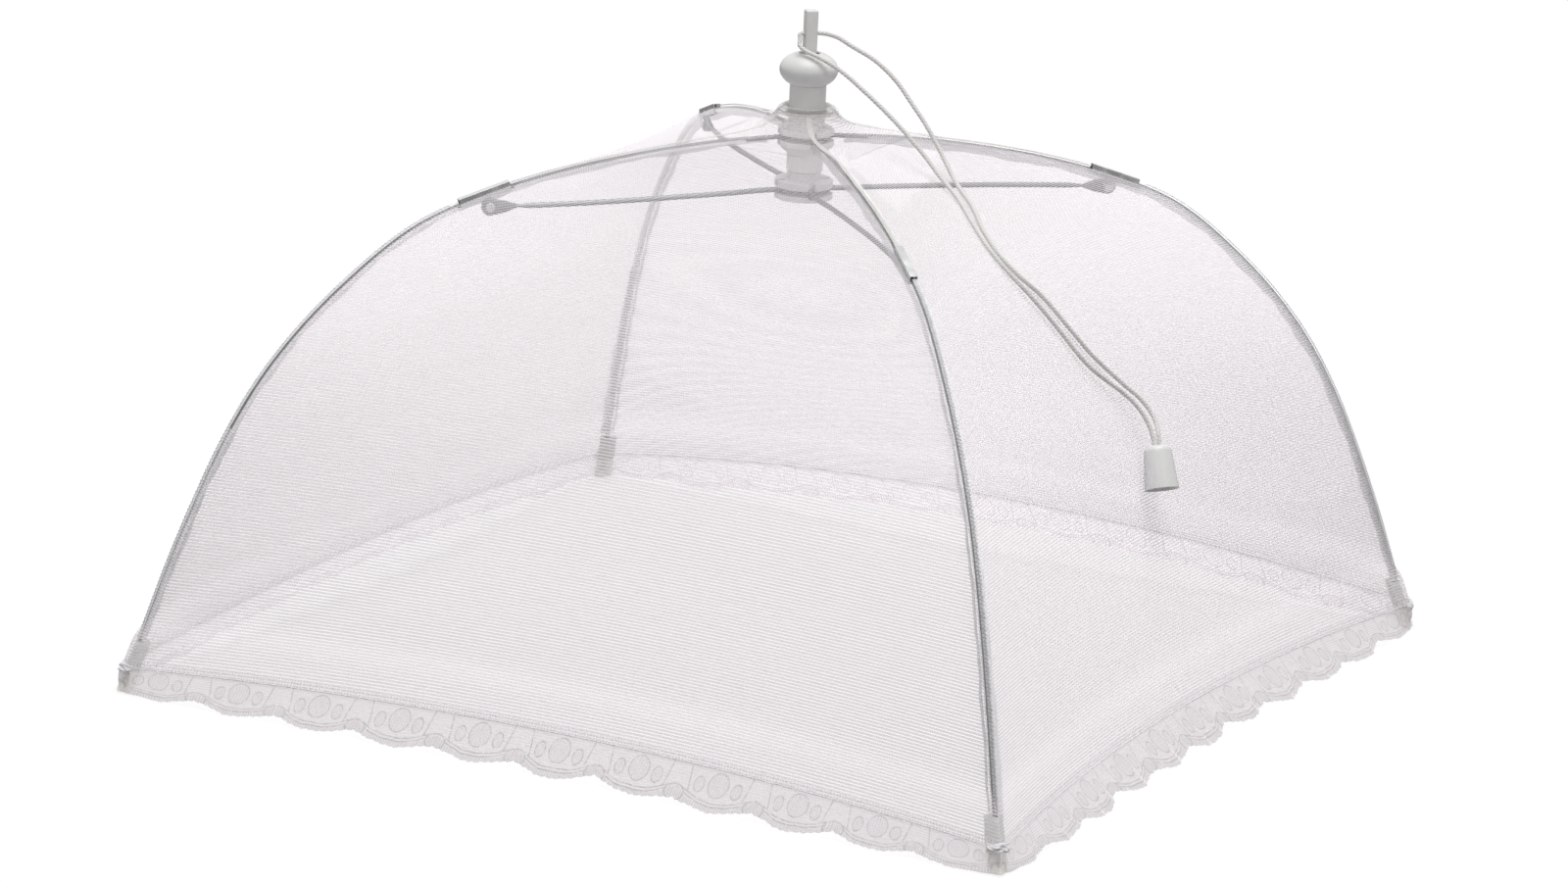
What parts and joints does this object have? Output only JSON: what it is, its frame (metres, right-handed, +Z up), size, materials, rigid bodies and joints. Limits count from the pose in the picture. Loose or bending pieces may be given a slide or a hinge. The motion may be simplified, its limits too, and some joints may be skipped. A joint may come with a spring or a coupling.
{
  "type": "mesh food cover umbrella",
  "caption": "Fold-up food cover: a net canopy with a lace hem on hinged wire ribs, opened like an umbrella by drawing the square rod up with its pull cord.",
  "frame": {"origin": "centre of the open cover's base, on the table", "axes": "+Z up along the rod; X and Y square to the sides of the canopy, with a rib in each corner"},
  "size_m": [0.405, 0.4046, 0.276],
  "materials": {
    "white_plastic": "satin moulded white plastic",
    "rod_plastic": "plain moulded off-white plastic",
    "steel_wire": "drawn grey wire",
    "clip_steel": "folded bright sheet",
    "net": "fine sheer net",
    "lace": "sheer lace with a raised flower and vine pattern",
    "seam_tape": "woven white tape",
    "pocket_tape": "twilled grey-white tape",
    "cord": "braided white cord"
  },
  "bodies": {
    "frame": {"outer_tube": "white_plastic", "top_knob": "white_plastic", "upper_ring_wire": "steel_wire", "apex_binding": "seam_tape", "net_gore_front_right": "net", "net_gore_back_right": "net", "net_gore_back_left": "net", "net_gore_front_left": "net", "lace_front_right": "lace", "lace_back_right": "lace", "lace_back_left": "lace", "lace_front_left": "lace", "pull_cord_right": "cord", "pull_cord_left": "cord", "cord_bell": "white_plastic", "cord_knot": "cord"},
    "shaft": {"shaft_rod": "rod_plastic", "lower_hub": "white_plastic", "lower_ring_wire": "steel_wire"},
    "rib_front": {"rib_front": "steel_wire", "rib_clip_front": "clip_steel", "rivet_head_front": "clip_steel", "seam_band_front": "seam_tape", "tip_pocket_front": "pocket_tape"},
    "stretcher_front": {"stretcher_front": "steel_wire", "rivet_tail_front": "clip_steel"},
    "rib_right": {"rib_right": "steel_wire", "rib_clip_right": "clip_steel", "rivet_head_right": "clip_steel", "seam_band_right": "seam_tape", "tip_pocket_right": "pocket_tape"},
    "stretcher_right": {"stretcher_right": "steel_wire", "rivet_tail_right": "clip_steel"},
    "rib_back": {"rib_back": "steel_wire", "rib_clip_back": "clip_steel", "rivet_head_back": "clip_steel", "seam_band_back": "seam_tape", "tip_pocket_back": "pocket_tape"},
    "stretcher_back": {"stretcher_back": "steel_wire", "rivet_tail_back": "clip_steel"},
    "rib_left": {"rib_left": "steel_wire", "rib_clip_left": "clip_steel", "rivet_head_left": "clip_steel", "seam_band_left": "seam_tape", "tip_pocket_left": "pocket_tape"},
    "stretcher_left": {"stretcher_left": "steel_wire", "rivet_tail_left": "clip_steel"}
  },
  "joints": [
    {"name": "shaft_slide", "type": "slide", "parent": "frame", "child": "shaft", "axis": [0, 0, -1], "range_m": [0, 0.1924], "deforming": ["net_gore_front_right", "net_gore_back_right", "net_gore_back_left", "net_gore_front_left", "lace_front_right", "lace_back_right", "lace_back_left", "lace_front_left", "pull_cord_right", "pull_cord_left"]},
    {"name": "rib_hinge_front", "type": "hinge", "parent": "frame", "child": "rib_front", "pos_m": [0.00693, -0.00693, 0.2235], "axis": [0.7071, 0.7071, 0], "range_deg": [0, 48]},
    {"name": "stretcher_hinge_front", "type": "hinge", "parent": "shaft", "child": "stretcher_front", "pos_m": [0.00707, -0.00707, 0.2013], "axis": [-0.7071, -0.7071, 0], "range_deg": [0, 60.51]},
    {"name": "rib_hinge_right", "type": "hinge", "parent": "frame", "child": "rib_right", "pos_m": [0.00693, 0.00693, 0.2235], "axis": [-0.7071, 0.7071, 0], "range_deg": [0, 48]},
    {"name": "stretcher_hinge_right", "type": "hinge", "parent": "shaft", "child": "stretcher_right", "pos_m": [0.00707, 0.00707, 0.2013], "axis": [0.7071, -0.7071, 0], "range_deg": [0, 60.51]},
    {"name": "rib_hinge_back", "type": "hinge", "parent": "frame", "child": "rib_back", "pos_m": [-0.00693, 0.00693, 0.2235], "axis": [-0.7071, -0.7071, 0], "range_deg": [0, 48]},
    {"name": "stretcher_hinge_back", "type": "hinge", "parent": "shaft", "child": "stretcher_back", "pos_m": [-0.00707, 0.00707, 0.2013], "axis": [0.7071, 0.7071, 0], "range_deg": [0, 60.51]},
    {"name": "rib_hinge_left", "type": "hinge", "parent": "frame", "child": "rib_left", "pos_m": [-0.00693, -0.00693, 0.2235], "axis": [0.7071, -0.7071, 0], "range_deg": [0, 48]},
    {"name": "stretcher_hinge_left", "type": "hinge", "parent": "shaft", "child": "stretcher_left", "pos_m": [-0.00707, -0.00707, 0.2013], "axis": [-0.7071, 0.7071, 0], "range_deg": [0, 60.51]}
  ],
  "couplings": [
    {"joint": "rib_hinge_front", "follows": "shaft_slide", "rad_per_m": 4.354},
    {"joint": "stretcher_hinge_front", "follows": "shaft_slide", "rad_per_m": 5.489},
    {"joint": "rib_hinge_right", "follows": "shaft_slide", "rad_per_m": 4.354},
    {"joint": "stretcher_hinge_right", "follows": "shaft_slide", "rad_per_m": 5.489},
    {"joint": "rib_hinge_back", "follows": "shaft_slide", "rad_per_m": 4.354},
    {"joint": "stretcher_hinge_back", "follows": "shaft_slide", "rad_per_m": 5.489},
    {"joint": "rib_hinge_left", "follows": "shaft_slide", "rad_per_m": 4.354},
    {"joint": "stretcher_hinge_left", "follows": "shaft_slide", "rad_per_m": 5.489}
  ]
}
